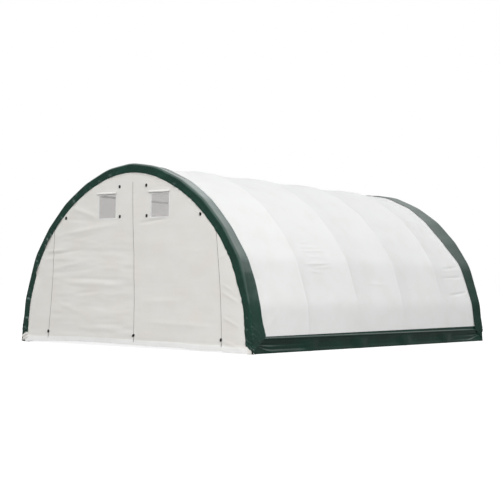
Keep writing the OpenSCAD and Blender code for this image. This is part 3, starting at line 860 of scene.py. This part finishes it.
def turned(work, profile, place, steps=20):
    """A turned form about place's Z axis, from (radius, height) points"""
    rings = []
    for radius, height in profile:
        rings.append([work.verts.new(place @ Vector((radius * math.cos(t), radius * math.sin(t), height)))
                      for t in np.linspace(0, 2 * math.pi, steps, endpoint=False)])
    join_loops(work, rings)
    work.faces.new(rings[0][::-1])
    work.faces.new(rings[-1])


def toggle_form(work, x, z, lean):
    """A stitched oval patch, a cord neck and a waisted barrel, hanging at an angle"""
    before_wall = 0.007 if z < 1 else 0.002  # the lower ones hang in front of the zips
    y = float(front_place(x, z)) - before_wall
    place = Matrix.Translation((x, y, z)) @ Matrix.Rotation(lean, 4, "Y")
    outward = place @ Matrix.Rotation(math.pi / 2, 4, "X")
    oval = Matrix.Diagonal((1, 1.35, 1, 1))
    patch = [(0.0245, -0.009), (0.0255, 0.0015), (0.0235, 0.003), (0.0215, 0.0026), (0.0195, 0.003),
             (0.004, 0.0034)]
    turned(work, patch, outward @ oval, 28)
    turned(work, [(0.004, 0.002), (0.004, 0.016)], outward, 10)
    barrel = [(0.003, -0.027), (0.0075, -0.025), (0.0095, -0.019), (0.0078, -0.008), (0.007, 0),
              (0.0078, 0.008), (0.0095, 0.019), (0.0075, 0.025), (0.003, 0.027)]
    turned(work, barrel, place @ Matrix.Translation((0, -0.0165, 0)), 20)


def toggle_places(node):
    """Middles of a node's toggles, from its separate solids"""
    corners = np.array([v.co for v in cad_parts[node].data.vertices])[:, [0, 2]]
    groups = []
    for corner in corners[np.argsort(corners[:, 0], kind="stable")]:
        near = [g for g in groups if np.all(np.abs(g[0] - corner) < (0.05, 0.08))]
        if near:
            near[0].append(corner)
        else:
            groups.append([corner])
    return [(np.min(g, axis=0) + np.max(g, axis=0)) / 2 for g in groups]


toggle_leans = [0.1, -0.06, 0.12, 0.0, 0.08, -0.1]
for node_name in ("upper_toggles", "lower_toggles"):
    for k, (x, z) in enumerate(toggle_places(node_name)):
        lean = 0.75 if node_name == "lower_toggles" and k == 1 else toggle_leans[k % 6]
        toggle = bmesh_piece(f"{node_name[:-1]}_{k + 1}", black_plastic, toggle_form, x, z, lean)
        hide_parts(node_name)


# Windows
# Each opening has a pane of fine grey insect mesh welded behind it, a welded white border, and an
# outside flap that is rolled up and tied above it. Daylight inside shows through the mesh.

def insect_mesh():
    """Fine woven polyester mesh: half open, so what is behind it shows through greyed"""
    material, tree = new_material("grey_polyester_insect_mesh")
    thread_pitch = 0.008  # threads are 1.2 mm apart; drawn at 8 mm so that they show
    weave = weave_pattern(tree, thread_pitch)
    tint = ramp(tree, weave, "#FDF6F4", "#FFFBFA")
    bump = add(tree, "Bump", {"Strength": 0.3, "Distance": 0.0005}, {"Height": weave})
    threads = add(tree, "BsdfPrincipled", {"Roughness": 0.6, "Alpha": 0.245},
                  {"Base Color": tint, "Normal": bump})
    add(tree, "OutputMaterial", links={"Surface": threads})
    return material


mesh_grey = insect_mesh()
mesh_overlap = 0.028
for side_name, (low, high) in windows.items():
    grid_x, grid_z = grid(*[spaced([(low[axis] - mesh_overlap, 0.03), (high[axis] + mesh_overlap, 0)])
                            for axis in (0, 2)])
    middle = (low + high) / 2
    bulge = 0.002 * np.cos((grid_x - middle.x) * 5.5) * np.cos((grid_z - middle.z) * 5.5)
    pane_y = front_place(grid_x, grid_z) + 0.004 + bulge
    pane = cloth(side_name + "_window_mesh", grid_x, pane_y, grid_z, mesh_grey, thickness=0.0006)
    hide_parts(side_name + "_window_pane")

    x, z = [spaced([(low[axis] - border_width, 0.01), (low[axis], 0.04), (high[axis], 0.01),
                    (high[axis] + border_width, 0)]) for axis in (0, 2)]
    grid_x, grid_z = grid(x, z)
    from_sides = np.minimum(grid_x - x[0], x[-1] - grid_x)
    edge = np.minimum(from_sides, np.minimum(grid_z - z[0], z[-1] - grid_z))
    lift = 0.0015 + 0.0015 * np.clip(np.sin(np.pi * np.clip(edge / border_width, 0, 1)), 0, 1)
    # The border is drawn in the whiter cover cloth: a painted highlight along the folded border.
    border = cloth(side_name + "_window_border_strip", grid_x, front_place(grid_x, grid_z) - lift,
                   grid_z, white_cover, kept=outside(grid_x, grid_z, low, high))
    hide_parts(side_name + "_window_border")


# Rolled window flaps
# Each flap is the same wall cloth, welded above the window, rolled up loosely outward in about two
# turns and held by two narrow ties, which are not drawn: the roll only narrows where they sit. Both
# sink a little at the left, where the left one is thinner.

white_roll = woven_polyethylene("white_flap_woven_polyethylene", "#F4F2EF", "#EFECE9",
                                0.2, 0.55, 0.2, 0.003)
roll_radius = 0.022
turns = 2.2
wind = np.linspace(0, 1, 64)
radius = roll_radius * (1 - 0.62 * wind)
angle = math.pi / 2 - wind * turns * 2 * math.pi
tab = np.linspace(0, 1, 6)[:-1]
roll_y = np.concatenate([0 * tab - 0.001, -roll_radius + radius * np.sin(angle) - 0.001])
roll_z = np.concatenate([0.045 * (1 - tab), -radius * np.cos(angle)])
for side_name, (low, high) in windows.items():
    flap_low, flap_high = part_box(side_name + "_window_flap")
    x = spaced([(flap_low.x - 0.03, 0.016), (flap_high.x - 0.005, 0)])
    grid_x, grid_k = grid(x, np.arange(len(roll_y)))
    along = (grid_x - x[0]) / (x[-1] - x[0])
    lumps = 1 + 0.12 * noise(81, grid_x, grid_k / 10, 0.09, 1.1)
    squeeze = 1 - 0.22 * sum(np.exp(-((along - tie) / 0.035) ** 2) for tie in (0.24, 0.78))
    taper = 1 - 0.35 * (1 - ease(along / 0.18)) * (side_name == "left")
    size = lumps * squeeze * taper
    centre_z = flap_low.z + 0.024
    is_tab = grid_k < len(tab)
    y_place = np.where(is_tab, roll_y[grid_k],
                       roll_y[grid_k] * size * 0.5 + roll_z[grid_k] * 0.25 - 0.004)
    sunk = 0.004 * (1 - along) ** 2 * np.where(is_tab, 0.2, 1)
    z_place = centre_z + roll_z[grid_k] * np.where(is_tab, 1, size) - sunk
    y = front_place(grid_x, np.minimum(z_place, high.z + 0.06)) - 0.0015 + y_place
    flap = cloth(side_name + "_window_flap_roll", grid_x[::-1], y[::-1], z_place[::-1], white_roll)
    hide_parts(side_name + "_window_flap")


# Ground, light and camera
# A level pale floor under an open bright sky, with one broad lamp over the front right shoulder and
# a panel beside it on the right. Glossy rays see a sky of their own: dark low down, bright overhead.

floor_material, tree = new_material("studio_floor")
ground = add(tree, "BsdfDiffuse", {"Color": linear("#8E8E8C")})
white = add(tree, "Emission", {"Color": (1, 1, 1, 1), "Strength": 0.86})
dark = add(tree, "Emission", {"Strength": 0.0})
seen = add(tree, "LightPath")
glow = add(tree, "MixShader", links={0: seen.outputs["Is Camera Ray"], 1: dark, 2: white})
lit = add(tree, "AddShader", links={0: ground, 1: glow})
add(tree, "OutputMaterial", links={"Surface": lit})
bpy.ops.mesh.primitive_circle_add(vertices=64, radius=400, fill_type="NGON", location=(0, 0, 0))
floor = bpy.context.object
floor.name = "studio_floor"
floor.data.materials.append(floor_material)

world = bpy.data.worlds.new("open_sky")
bpy.context.scene.world = world
world.use_nodes = True
tree = world.node_tree
tree.nodes.clear()
upward = add(tree, "SeparateXYZ", links={"Vector": add(tree, "TexCoord")}).outputs["Z"]
level = add(tree, "MapRange", {"From Min": 0.1, "From Max": 0.6, "To Min": 0.79, "To Max": 0.82},
            {"Value": upward}, interpolation_type="SMOOTHSTEP")
gloss_level = add(tree, "MapRange", {"From Min": 0.28, "From Max": 0.43, "To Min": 0.24, "To Max": 1.75},
                  {"Value": upward}, interpolation_type="SMOOTHSTEP")
seen = add(tree, "LightPath")
strength = add(tree, "Mix", links={"Factor": seen.outputs["Is Glossy Ray"], 2: level, 3: gloss_level})
sky = add(tree, "Background", {"Color": linear("#FCFEFF")}, {"Strength": strength})
backdrop = add(tree, "Background", {"Color": (1, 1, 1, 1), "Strength": 1.0})
both = add(tree, "MixShader", links={0: seen.outputs["Is Camera Ray"], 1: sky, 2: backdrop})
add(tree, "OutputWorld", links={"Surface": both})


def lamp(name, kind, energy, towards):
    """A lamp that shines from the direction towards, and isn't seen in reflections"""
    light = bpy.data.lights.new(name, kind)
    light.energy = energy
    thing = in_scene(name, light)
    thing.rotation_euler = towards.to_track_quat("Z", "Y").to_euler()
    thing.visible_glossy = False
    return thing


broad_lamp = lamp("broad_lamp", "SUN", 1.35, Vector((0.56, -0.68, 0.47)))
broad_lamp.data.angle = math.radians(35)
panel_place = Vector((12.5, -10.5, 9.0))
side_panel = lamp("side_panel", "AREA", 560, panel_place - Vector((1.5, -3.0, 1.2)))
side_panel.data.size = 5
side_panel.location = panel_place

camera_data = bpy.data.cameras.new("camera")
camera_data.sensor_width = 36
camera_data.lens = 84.78
camera = in_scene("camera", camera_data)
yaw, pitch, roll = math.radians(37.489), math.radians(1.772), math.radians(0.885)
ahead = Vector((-math.sin(yaw) * math.cos(pitch), math.cos(yaw) * math.cos(pitch), math.sin(pitch)))
level_right = Vector((math.cos(yaw), math.sin(yaw), 0))
level_up = level_right.cross(ahead)
right = level_right * math.cos(roll) + level_up * math.sin(roll)
up = level_up * math.cos(roll) - level_right * math.sin(roll)
turned_to_view = Matrix((right, up, -ahead)).transposed().to_4x4()
camera.matrix_world = Matrix.Translation((15.849, -21.35, 1.22)) @ turned_to_view
bpy.context.scene.camera = camera
bpy.context.scene.view_settings.view_transform = "Standard"
